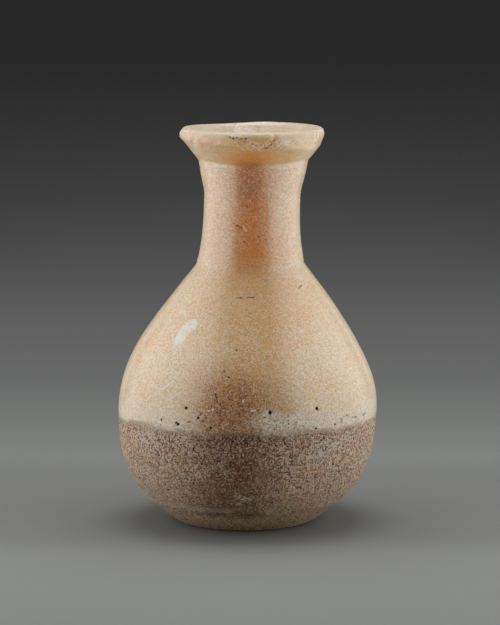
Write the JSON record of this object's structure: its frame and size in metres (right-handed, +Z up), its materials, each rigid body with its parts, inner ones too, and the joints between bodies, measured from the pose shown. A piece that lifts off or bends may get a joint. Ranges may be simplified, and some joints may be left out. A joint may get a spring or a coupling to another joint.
{
  "type": "long-necked stone jar",
  "caption": "Hollow carved stone jar with a pear-shaped body on a small flat foot, a waisted neck and a flaring rim with a funnel mouth.",
  "frame": {"origin": "on the surface that the foot stands on, under the centre of the belly, which is the centre of the bounding box", "axes": "+Z up through the mouth; -Y is the side that the picture shows; the neck leans a little towards +X"},
  "size_m": [0.0822, 0.0822, 0.125],
  "materials": {
    "travertine": "warm orange-beige banded travertine, polished on the neck and shoulder, yellower on the rim, with a grey-brown weathered and pitted band round the lower third"
  },
  "bodies": {
    "root": {"jar": "travertine"}
  },
  "joints": []
}
